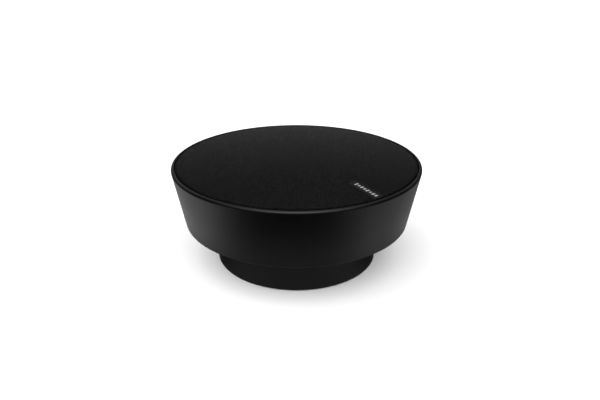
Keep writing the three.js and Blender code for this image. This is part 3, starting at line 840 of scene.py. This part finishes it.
def skin_path():
    """The grille's skin near its edge: the distance over it from the axis, the point and the normal."""
    points = [Vector(p) for p in skin(0, 60, 12) if p[0] > TAG_INNER - 5]
    path = []
    travelled = points[0].x
    for before, here in zip(points, points[1:]):
        along = here - before
        travelled += along.length
        path.append((travelled, here, Vector((-along.y, along.x)).normalized()))
    return path


SKIN_PATH = skin_path()


def on_tag(along, across, lift):
    """A point lifted off the knit, from its place in the tag's own frame."""
    across += TAG_OFFSET
    distance = math.hypot(along, across)
    for (d0, p0, n0), (d1, p1, n1) in zip(SKIN_PATH, SKIN_PATH[1:]):
        if distance <= d1:
            break
    t = (distance - d0) / (d1 - d0)
    point = p0.lerp(p1, t) + n0.lerp(n1, t).normalized() * lift
    return Vector((point.x * along / distance, point.x * across / distance, point.y))


def tag_strip(name, rows, low, high):
    """A strip over the knit between two lifts, from rows of (along, across) places."""
    mesh = bmesh.new()
    edges = []
    for lift in (low, high):
        sheet = [[mesh.verts.new(on_tag(*place, lift)) for place in row] for row in rows]
        for first, second in zip(sheet, sheet[1:]):
            for k in range(len(first) - 1):
                mesh.faces.new((first[k], first[k + 1], second[k + 1], second[k]))
        left = [row[0] for row in sheet]
        right = [row[-1] for row in reversed(sheet)]
        edges.append(left + sheet[-1][1:-1] + right + sheet[0][-2:0:-1])
    lower, upper = edges
    for k in range(len(lower)):
        j = (k + 1) % len(lower)
        mesh.faces.new((lower[k], lower[j], upper[j], upper[k]))
    return new_object(name, mesh, spin(TAG_ANGLE))


def label_tag():
    """A rubber strip with a round inner end. Its other end folds down beside the knit."""
    half = TAG_WIDTH / 2
    start = TAG_INNER + half
    columns = [2 * k / 14 - 1 for k in range(15)]
    rows = []
    for degrees in range(6, 90, 6):
        back, reach = polar(half, degrees)
        rows.append([(start - back, reach * c) for c in columns])
    ends = [math.sqrt(TAG_END ** 2 - (half * c + TAG_OFFSET) ** 2) for c in columns]
    steps = 40
    for k in range(steps + 1):
        rows.append([(start + (end - start) * k / steps, half * c) for c, end in zip(columns, ends)])
    piece = tag_strip("label_tag_strip", rows, 0.15, 0.7)
    soften(piece, 0.2, 3)
    show(piece, "tag_rubber", "label_tag", body="grille")


def tag_mark():
    """A generic silver mark on the tag: a row of level-meter bars."""
    first, pitch, half_width, tallest = 83.6, 3.9, 0.85, 2.0
    levels = (1.0, 0.6, 0.9, 0.7, 1.0, 0.55, 0.85, 0.75)
    bars = []
    for i, level in enumerate(levels):
        places = [first + i * pitch + side * half_width for side in (-1, 0, 1)]
        rows = [[(along, tallest * level * c) for c in (-1, 0, 1)] for along in places]
        bars.append(tag_strip(f"bar_{i}", rows, 0.62, 0.8))
    show(merged("tag_mark", bars), "tag_rubber", body="grille", look="silver_ink")


# ---- woofer
def woofer_chassis():
    body = turned("woofer_chassis", rounded([
        (20, 64.6), (37, 64.6, 1.5), (39.2, 66.4, 1.5), (53.6, FLANGE_BOTTOM, 1),
        (FLANGE_RADIUS, FLANGE_BOTTOM, 0.3), (FLANGE_RADIUS, FLANGE_TOP, 0.7), (51.5, FLANGE_TOP, 1.2),
        (38, 68.8, 1), (33, 68.8, 0.5), (33, 66.4, 0.5), (20, 66.4),
    ], 4), MEDIUM)
    windows = joined(*crossing_bars("window", 60, 17, 70.5, 81, (0, 90)))
    holes = rods("chassis_hole", *WOOFER_SCREWS, 1.6, *THROUGH_BAFFLE)
    cut(body, windows, *holes)
    show(body, "black_steel", "woofer_basket")


def flexing(piece, slot, node, outer, inner):
    """Gives a soft ring between the basket and the cone its material and smooth shading, bakes its place into its
    mesh and hides the CAD node that it stands for. Each vertex's share of the way from the outer edge to the inner
    one is worked out but not used.
    """
    piece.data.materials.append(LOOKS[slot])
    piece.data.shade_smooth()
    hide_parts(node)
    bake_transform(piece)
    for vertex in piece.data.vertices:
        t = (outer - vertex.co.xy.length / MM) / (outer - inner)
        t = min(1.0, max(0.0, t))


def surround():
    """The rubber half-roll between the cone and the basket's flange."""
    middle, base, radius, thickness, chamfer = 46.5, 86.3, 4.0, 0.7, 0.2
    inner, outer, top = 39.6, 54, base + thickness
    outline = [
        (outer, base), (outer, top - chamfer), (outer - chamfer, top),
        *arc(middle, top, radius, 0, 180, 20),
        (inner + chamfer, top), (inner, top - chamfer), (inner, base),
        *arc(middle, base, radius - thickness, 180, 0, 20),
    ]
    piece = turned("woofer_roll", outline, MEDIUM)
    flexing(piece, "black_rubber", "woofer_surround", middle + radius, middle - radius)


def spider():
    """The corrugated cloth disc that centres the voice coil."""
    inner, outer, middle, wave, thickness = COIL_RADIUS, 36.8, 69.6, 0.6, 0.5
    ridges, steps = 3, 72
    flat = 3  # the plain margins at both edges
    pitch = (outer - inner - 2 * flat) / ridges

    def corrugated(r):
        depth = min(1.0, (r - inner) / flat, (outer - r) / flat)
        return middle - wave * depth * math.cos(2 * math.pi * (r - inner - flat) / pitch)

    radii = [inner + (outer - inner) * k / steps for k in range(steps + 1)]
    top = [(r, corrugated(r) + thickness / 2) for r in radii]
    under = [(r, z - thickness) for r, z in reversed(top)]
    piece = turned("woofer_centring_disc", top + under, 96)
    flexing(piece, "spider_cloth", "woofer_spider", outer, inner)


def cone():
    """A paper cone with a slightly curved flank and three pressed ribs."""
    foot, rise, thickness, steps = 71.5, 13.7, 0.85, 48

    def flank(t):
        ribs = sum(math.exp(-((t - place) / 0.02) ** 2) for place in (0.35, 0.58, 0.8))
        return foot + rise * t ** 0.94 + 0.22 * ribs

    shares = [k / steps for k in range(steps + 1)]
    under = [(COIL_RADIUS + (CONE_RADIUS - COIL_RADIUS) * t, flank(t)) for t in shares]
    top = [(r, z + thickness) for r, z in under]
    piece = turned("woofer_paper_cone", top + under[::-1], MEDIUM)
    show(piece, "cone_paper", "woofer_cone", body="cone")


def dust_cap():
    radius, foot, rise, thickness, steps = 16.5, 74.9, 5.2, 0.8, 16
    top = [(radius * k / steps, foot + rise * (1 - (k / steps) ** 2)) for k in range(steps + 1)]
    under = [(r, z - thickness) for r, z in reversed(top)]
    bead = arc(radius, foot - thickness / 2, 0.7, 70, -70, 6)
    piece = turned("woofer_dust_dome", top[:-1] + bead + under[1:], MEDIUM)
    show(piece, "cone_paper", "woofer_dust_cap", body="cone")


def tweeter(number, angle):
    spot = at(*polar(TWEETER_CIRCLE, angle), 0, angle)
    body = turned(f"tweeter_{number}_housing", rounded([
        (0, 68), (15.5, 68, 1), (17.5, 70, 1), (17.5, 85.8), (22, 85.8, 0.2), (22, 87.5, 0.6),
        (18.6, 87.5, 0.8), (16.4, 85.3, 0.3), (0, 85.3),
    ], 4), 96, spot)
    show(body, "black_steel", f"tweeter_body_{number}")
    base = 85.7
    roll = arc(13.7, base, 2.2, 140, 5, 10)[:-1]
    outline = [*arc(0, base, 12, 90, 14, 14), *roll, (15.9, base), (0, base - 0.1)]
    dome = turned(f"tweeter_{number}_dome", outline, 96, spot)
    show(dome, "dome_silk", f"tweeter_dome_{number}")


# ---- pedestal
def pedestal():
    wall, top = 2.5, PEDESTAL_TOP - 1
    ceiling = PEDESTAL_TOP - 3
    piece = turned("pedestal_sleeve", rounded([
        (FLOOR_HOLE_RADIUS, ceiling, 0.3),
        (FLOOR_HOLE_RADIUS, PEDESTAL_TOP, 0.3),
        (PEDESTAL_TOP_RADIUS, PEDESTAL_TOP, 0.5),
        (PEDESTAL_FOOT_RADIUS, PEDESTAL_BOTTOM, 1.0),
        (PEDESTAL_FOOT_RADIUS - wall, PEDESTAL_BOTTOM, 0.3),
        (PEDESTAL_TOP_RADIUS - wall, ceiling, 1),
    ]), SMOOTH)
    columns = rods("column", *COLUMNS, 3.5, 4.7, top, 32)
    columns += [
        turned(f"board_post_{x}_{y}", box(0, 2.4, 32.9, top), 24, at(x, y))
        for x in (-40, 40)
        for y in (-25, 25)
    ]
    joined(piece, *columns)
    holes = rods("column_hole", *COLUMNS, 1.5, 0, 14)
    holes += rods("boss_hole", *BOSSES, 1.6, 30, 50)
    cut(piece, *holes)
    show(piece, "pedestal_plastic", "pedestal_shell")


def base_plate():
    low, high = 1.6, 4.4
    groove = 2.9  # the roof of the groove that holds the foot
    body = turned("base_disc", rounded([
        (0, low), (63.7, low, 0.2), (63.7, groove), (72.3, groove), (72.3, low, 0.2), (76.6, low, 0.5),
        (76.6, high, 0.3), (0, high),
    ]), MEDIUM)
    recess = [(0, 0), (4.2, 0), (3.2, 1.9), (3.2, 3.2), (0, 3.2)]
    holes = rods("plate_hole", *COLUMNS, 1.6, 0, 6)
    cut(body, *holes, *turned_at("recess", recess, *COLUMNS, 32))
    show(body, "inner_plastic", "pedestal_plate")


def foot():
    """A soft ring with two grooves in its resting face."""
    corners = [(64, 2.6, 0.4), (64, 0, 0.6)]
    for groove in (66.7, 69.3):
        inner, outer, roof = groove - 0.4, groove + 0.4, 0.5
        corners += [(inner, 0, 0.1), (inner, roof, 0.1), (outer, roof, 0.1), (outer, 0, 0.1)]
    corners += [(72, 0, 0.6), (72, 2.6, 0.4)]
    piece = turned("foot_pad", rounded(corners, 3), MEDIUM)
    show(piece, "black_rubber", "foot_ring")


# ---- screws
def screw_head(name, place):
    """A pan head with a cross recess, on a plain shank that stays inside the CAD screw."""
    body = turned(name, rounded([
        (0, HEAD_HEIGHT), (1.9, HEAD_HEIGHT, 0.9), (2.4, 0, 0.2), (1.2, 0), (1.2, -5.5, 0.5), (0, -5.5),
    ], 4), 32)
    cut(body, joined(*crossing_bars(f"{name}_slot", 1.25, 0.32, 1.0, 3, (0, 90))))
    move(body, place)
    return body


def screws():
    """Each CAD screw gets a head with a recess. Those in the pedestal point up."""
    for node in sorted(frame["nodes"]):
        if "_screw_" not in node:
            continue
        low, high = box_mm(node)
        centre = (low + high) / 2
        turn = 37.0 * int(node[-1])
        if node.startswith(("pedestal", "plate")):
            place = at(centre.x, centre.y, low.z + HEAD_HEIGHT, turn) @ spin(180, "X")
        else:
            place = at(centre.x, centre.y, high.z - HEAD_HEIGHT, turn)
        show(screw_head(f"{node}_head", place), "steel", node)


# ---- controls in the back wall
def bar(x, y, half_x, half_y):
    """A rectangle about a point."""
    return box(x - half_x, x + half_x, y - half_y, y + half_y)


def band(x, radius, start, end, steps=24):
    """The outline of a part of a ring, one stroke wide, about a point on the X axis."""
    outside = arc(x, 0, radius + STROKE, start, end, steps)
    return outside + arc(x, 0, radius - STROKE, end, start, steps)


def plus(reach):
    """The outline of a plus, one stroke wide."""
    outline = []
    for turn in range(4):
        corner = Matrix.Rotation(turn * math.pi / 2, 2)
        arm = ((reach, -STROKE), (reach, STROKE), (STROKE, STROKE))
        outline += [tuple(corner @ Vector(p)) for p in arm]
    return outline


# The outlines on the caps: +X points up the wall, and +Y to the left of somebody who faces the back.
STROKE = 0.22
ICONS = {
    "power_button": [bar(1.3, 0, 0.85, STROKE), band(0, 1.5, 40, 320)],
    "pairing_button": [arc(-1.1, 0, 0.4, 0, 330, 11), band(-1.1, 1.3, -50, 50), band(-1.1, 2.3, -50, 50)],
    "volume_down_button": [bar(0, 0, STROKE, 1.6)],
    "play_button": [*(bar(0, y, 1.2, STROKE) for y in (-0.9, -1.8)), [(1.3, 2.1), (-1.3, 2.1), (0, 0.1)]],
    "volume_up_button": [plus(1.6)],
}
CAP_DISH = 0.45  # the middle of a button's cap, measured out of the wall
CAP_EDGE = 0.8
CAP_REACH = 3.5  # the radius of the dish


def push_button(name, angle):
    cap = outwards(f"{name}_cap", rounded([
        (0, CAP_DISH), (CAP_REACH, CAP_EDGE, 0.8), (BUTTON_RADIUS, 0.6, 0.5), (BUTTON_RADIUS, -3.4),
        (6.1, -3.4, 0.3), (6.1, -4.6, 0.3), (1.8, -4.6), (1.8, -7, 0.3), (0, -7),
    ], 4), angle, 64)
    show(cap, "shell_plastic", name, body=name)
    strokes = [slab(f"{name}_icon_{i}", outline, -0.04, 0.05) for i, outline in enumerate(ICONS[name])]
    icon = merged(f"{name}_icon", strokes)
    slope = (CAP_EDGE - CAP_DISH) / CAP_REACH
    for vertex in icon.data.vertices:
        vertex.co.z += CAP_DISH * MM + slope * vertex.co.xy.length
    move(icon, on_wall(angle, BUTTON_HEIGHT))
    show(icon, "shell_plastic", body=name, look="silver_ink")


def status_light():
    lens = outwards("status_light", rounded([
        (0, 0.25), (1.3, 0.05, 0.3), (1.3, -3.4), (2.4, -3.4, 0.2), (2.4, -7, 0.2), (0, -7),
    ], 4), LED_ANGLE, 32)
    show(lens, "clear_lens", "status_led")


HINGE_Y = wall_radius(HINGE_HEIGHT) - 1.2


def hinge_bar(name, radius, half, fillet=0.0):
    """A bar along X at the port cover's hinge."""
    outline = rounded([(0, -half), (radius, -half, fillet), (radius, half, fillet), (0, half)], 3)
    return lathe_along("X", name, outline, (0, HINGE_Y, HINGE_HEIGHT), 32)


def wall_layer(name, out_low, out_high, low, high):
    """A ring that follows the wall between two distances from its face."""
    return turned(name, [
        (wall_radius(low) + out_low, low), (wall_radius(low) + out_high, low),
        (wall_radius(high) + out_high, high), (wall_radius(high) + out_low, high),
    ], 3 * SMOOTH)


def port_cover():
    """The flush rubber door of the sockets: a piece of the wall's own surface, on a barrel."""
    low, high, half = 49.3, 59.2, BAY_HALF_WIDTH - 0.4
    plate = slab_along_y("port_door", rectangle(half, low, high, 1.3), 90, 125)
    common(plate, wall_layer("door_layer", -2, -0.1, 45, 65))
    cutters = [slab_along_y("thumb_notch", arc(0, high + 2.8, 4, 0, 352.5, 47), 90, 125)]
    for side in (-1, 1):
        ear = side * (EAR_INNER + EAR_OUTER) / 2
        left, right, top = ear - 1.65, ear + 1.65, HINGE_HEIGHT + 1.9
        outline = rounded([(left, low - 1), (right, low - 1), (right, top, 0.5), (left, top, 0.5)])
        cutters.append(slab_along_y(f"ear_notch_{side}", outline, 90, 125))
    cut(plate, *cutters)
    soften(plate, 0.25, 3)
    joined(plate, hinge_bar("door_barrel", 1.3, EAR_INNER - 0.4, 0.2))
    cut(plate, hinge_bar("door_bore", 0.95, 30))
    show(plate, "black_rubber", "port_cover", body="port_cover")


def socket_bay():
    """The moulded box behind the wall's opening, with the sockets' mouths and the ears of the hinge."""
    low, high = BAY_BOTTOM - 1.9, BAY_TOP + 1.9
    body = slab_along_y("socket_box", rectangle(BAY_HALF_WIDTH + 2.2, low, high, 1.2), 97, 120)
    behind = -WALL - 0.3
    common(body, wall_layer("behind_wall", behind - 40, behind, low - 1, high + 1))
    cut(body, slab_along_y("bay_cavity", rectangle(BAY_HALF_WIDTH, BAY_BOTTOM, BAY_TOP, 1.4), 99, 130))
    ear_low, ear_high, ear_front = BAY_BOTTOM - 0.2, HINGE_HEIGHT + 1.2, HINGE_Y + 0.9
    ear = rounded([(104, ear_low), (ear_front, ear_low, 0.3), (ear_front, ear_high, 1), (104, ear_high)])
    # The outline's X becomes Y, its Y becomes Z and its height becomes X.
    sideways = Matrix(((0, 0, 1, 0), (1, 0, 0, 0), (0, 1, 0, 0), (0, 0, 0, 1)))
    ears = [(EAR_INNER, EAR_OUTER), (-EAR_OUTER, -EAR_INNER)]
    joined(body, *[slab(f"ear_{left}", ear, left, right, sideways) for left, right in ears])
    jack_mouth = [(0, -7), (3.3, -7), (3.3, 1.3), (4.2, 2.5), (0, 2.5)]
    mouths = [
        slab_along_y("usb_mouth", stadium(SOCKET_X, SOCKET_HEIGHT, 4.8, 1.9), 90, 102),
        lathe_along("Y", "jack_mouth", jack_mouth, (-SOCKET_X, 97.6, SOCKET_HEIGHT)),
    ]
    cut(body, hinge_bar("pin_bore", 0.7, 20), *mouths)
    show(body, "inner_plastic", "socket_bay")


def hinge_pin():
    show(hinge_bar("door_pin", 0.65, EAR_OUTER - 0.2, 0.2), "steel", "port_cover_pin")


def usb_socket():
    """A steel shell with a rolled mouth, and the tongue inside it."""
    shell = slab_along_y("usb_shell", stadium(SOCKET_X, SOCKET_HEIGHT, 4.5, 1.6, 14), 96, 99.4)
    cut(shell, slab_along_y("usb_inside", stadium(SOCKET_X, SOCKET_HEIGHT, 4.15, 1.25, 14), 96.6, 110))
    soften(shell, 0.1, 2)
    show(shell, "steel", "usb_c_socket")
    tongue = slab_along_y("usb_tongue", rectangle(3.3, -0.35, 0.35, 0.12), 96.5, 98.9)
    move(tongue, Matrix.Translation((SOCKET_X, 0, SOCKET_HEIGHT)))
    show(tongue, "steel", "usb_c_socket", look="inner_plastic")


def audio_jack():
    """A round socket on a square body, with a spring ring inside."""
    place = (-SOCKET_X, 0, SOCKET_HEIGHT)
    body = slab_along_y("jack_block", rectangle(3.6, -3.6, 3.6, 0.5), 93.9, 96.6)
    move(body, Matrix.Translation(place))
    neck = rounded([(0, 96), (3, 96), (3, 99.4, 0.3), (0, 99.4)])
    bore = [(0, 95), (1.75, 95), (1.75, 98.9), (2.4, 99.7), (0, 99.7)]
    joined(body, lathe_along("Y", "jack_neck", neck, place))
    cut(body, lathe_along("Y", "jack_bore", bore, place))
    show(body, "inner_plastic", "aux_jack")
    contact = rounded([(1.5, 96.9, 0.1), (1.7, 96.9), (1.7, 98.2), (1.5, 98.2, 0.1)])
    spring = lathe_along("Y", "jack_spring", contact, place)
    show(spring, "inner_plastic", "aux_jack", look="steel")


# ---- everything
cabinet_shell()
for side in (-1, 1):
    bass_port(side)
for make in (
    baffle, grille_knit, grille_edge, grille_carrier, label_tag, tag_mark, woofer_chassis, surround, spider,
    cone, dust_cap,
):
    make()
for number, angle in enumerate(TWEETER_ANGLES, 1):
    tweeter(number, angle)
for make in (pedestal, base_plate, foot, screws):
    make()
for name, angle in buttons.items():
    push_button(name, angle)
for make in (status_light, port_cover, socket_bay, hinge_pin, usb_socket, audio_jack):
    make()

for row in frame["record"]["subparts"]:
    node = frame["nodes"][row["node"]]
    if node.hide_render:
        continue
    for material_slot in node.material_slots:
        material_slot.material = LOOKS[row["material_slot"]]


# ---- studio
ROOM_LIGHT = 1.7  # what the dome throws on the floor and on the matt surfaces
LEFT_SHARE = 0.3  # how much brighter the dome is at its left than over the middle
FRONT_SHARE = 0.75  # how much brighter it is at the front than over the middle
SOFTBOX = (0, -0.44, 0.9)  # towards the middle of the soft box above, which only shiny surfaces see
SOFTBOX_LIGHT = 2.6
BACK_LIGHT = 0.28  # the pale wall behind the speaker, which only shiny surfaces see
CAMERA_DISTANCE = 4.93  # in rim radii
CAMERA_ELEVATION = 24.45  # degrees
CAMERA_SHIFT = (0.0058, 0.0109)


def floor_glow(look):
    """How bright reflections see the floor: dark in front, lit at the sides, and black far away."""
    x, y, _ = look.axes(look.place)
    flat = look.add("CombineXYZ", {"X": x, "Y": y}).outputs[0]
    distance = look.add("VectorMath", {0: flat}, operation="LENGTH").outputs["Value"]
    towards_front = look.math("DIVIDE", look.product(y, -1), distance)
    # The light at the sides starts and ends at other directions on the left than on the right.
    side_start = look.ease(x, 0.3, 0.53, -0.1, 0.1)
    side_end = look.ease(x, 0.96, 1.015, -0.1, 0.1)
    side = look.product(
        look.ease(towards_front, 1, 0, side_start, side_end),
        look.ease(x, 0.62, 0.4, -0.1, 0.1),
        look.ease(towards_front, 0.6, 1, -0.8, 0.5),
        look.ease(distance, 0, 1, 0.1, 0.17),
    )
    near = look.product(look.ease(distance, 0.2, 0, 0.15, 0.2), look.ease(towards_front, 0.2, 1, 0.3, 0.9))
    ahead = look.product(look.ease(distance, 0, 0.22, 0.25, 0.3), look.ease(towards_front, 0, 1, 0.3, 0.8))
    rear = look.ease(towards_front, 0.7, 0, -0.97, -0.82)
    return look.product(look.total(rear, ahead, side, near), look.ease(distance, 1, 0.02, 0.28, 0.42))


def floor():
    """Pale paper. Reflections see its glow instead."""
    mesh = bmesh.new()
    bmesh.ops.create_grid(mesh, x_segments=8, y_segments=8, size=6000)
    made = new_object("floor", mesh)
    look = Look("floor_paper")
    color = look.tint((0.86, 0.86, 0.86), look.noise(300, 3), 0.99, 1.01)
    look.set(Base_Color=color, Roughness=0.9, Specular_IOR_Level=0.0)
    painted_glow = look.add("Emission", {"Strength": floor_glow(look)})
    glossy = look.add("LightPath").outputs["Is Glossy Ray"]
    choice = look.add("MixShader", {0: glossy, 1: look.shader.outputs[0], 2: painted_glow.outputs[0]})
    look.feed(look.tree.nodes["Material Output"].inputs["Surface"], choice.outputs[0])
    made.data.materials.append(look.material)


def studio_world():
    """White to the camera, a dome to matt surfaces, and to shiny ones a soft box above and a pale back."""
    world = bpy.data.worlds.new("studio")
    world.use_nodes = True
    world.cycles.sampling_method = "NONE"
    nodes = Nodes(world.node_tree)
    rays = nodes.add("LightPath").outputs
    direction = nodes.add("TexCoord").outputs["Generated"]
    x, y, z = nodes.axes(direction)
    towards_box = nodes.add("VectorMath", {0: direction, 1: SOFTBOX}, operation="DOT_PRODUCT")
    box_share = nodes.math("POWER", nodes.math("MAXIMUM", towards_box.outputs["Value"], 0), 6)
    back = nodes.product(
        nodes.ease(z, 0.02, BACK_LIGHT, 0.12, 0.32),
        nodes.ease(y, 0.0, 1.0, 0, 0.7),
        nodes.span(x, 1.2, 0.8, -0.4, 0.4),
    )
    shine = nodes.total(nodes.product(box_share, SOFTBOX_LIGHT), back)
    left, front = ROOM_LIGHT * LEFT_SHARE, ROOM_LIGHT * FRONT_SHARE
    dome = nodes.total(ROOM_LIGHT, nodes.span(x, left, -left, -1, 1), nodes.span(y, front, -front, -1, 1))
    matt = nodes.product(rays["Is Diffuse Ray"], dome)
    glossy = nodes.product(rays["Is Glossy Ray"], shine)
    background = world.node_tree.nodes["Background"]
    background.inputs["Color"].default_value = (1, 1, 1, 1)
    nodes.feed(background.inputs["Strength"], nodes.total(matt, glossy, rays["Is Camera Ray"]))
    bpy.context.scene.world = world


def camera():
    """Looks at the middle of the cabinet's height from the front, a little from above."""
    elevation = math.radians(CAMERA_ELEVATION)
    target = Vector((0, 0, RIM_TOP * MM / 2))
    away = Vector((0, -math.cos(elevation), math.sin(elevation)))
    data = bpy.data.cameras.new("camera")
    data.sensor_width = 36
    data.lens = 35.33
    data.shift_x, data.shift_y = CAMERA_SHIFT
    made = bpy.data.objects.new("camera", data)
    made.location = target + CAMERA_DISTANCE * RIM_RADIUS * MM * away
    made.rotation_euler = (-away).to_track_quat("-Z", "Y").to_euler()
    bpy.context.scene.collection.objects.link(made)
    bpy.context.scene.camera = made


floor()
studio_world()
camera()
bpy.context.scene.view_settings.view_transform = "Standard"
